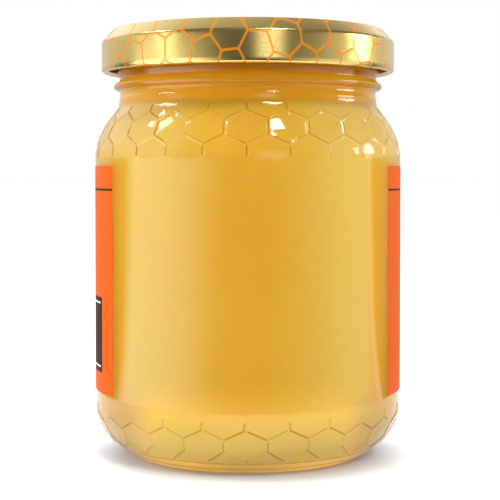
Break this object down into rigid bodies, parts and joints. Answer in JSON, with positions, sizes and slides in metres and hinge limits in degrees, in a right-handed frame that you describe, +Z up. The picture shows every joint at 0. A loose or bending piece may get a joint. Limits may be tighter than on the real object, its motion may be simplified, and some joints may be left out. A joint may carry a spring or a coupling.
{
  "type": "honey jar",
  "caption": "Shut glass jar of set honey with two embossed bands of honeycomb, a gold screw lid and a wrap-round label that leaves the front of the glass bare.",
  "frame": {"origin": "on the jar's axis, in the plane of the ring that it stands on", "axes": "+Z up along the jar's axis, -Y towards the bare front of the glass between the label's two ends, +X to the right seen from the front"},
  "size_m": [0.0782, 0.078, 0.107],
  "materials": {
    "clear_glass": "clear, polished, faintly wavy",
    "set_honey": "cloudy golden set honey, stands in for food",
    "gold_lacquer": "satin gold lacquer on tinplate, printed with orange honeycomb lines",
    "orange_paper": "coated orange paper label"
  },
  "bodies": {
    "root": {"jar": "clear_glass", "honey": "set_honey", "lid": "gold_lacquer", "label": "orange_paper"}
  },
  "joints": []
}
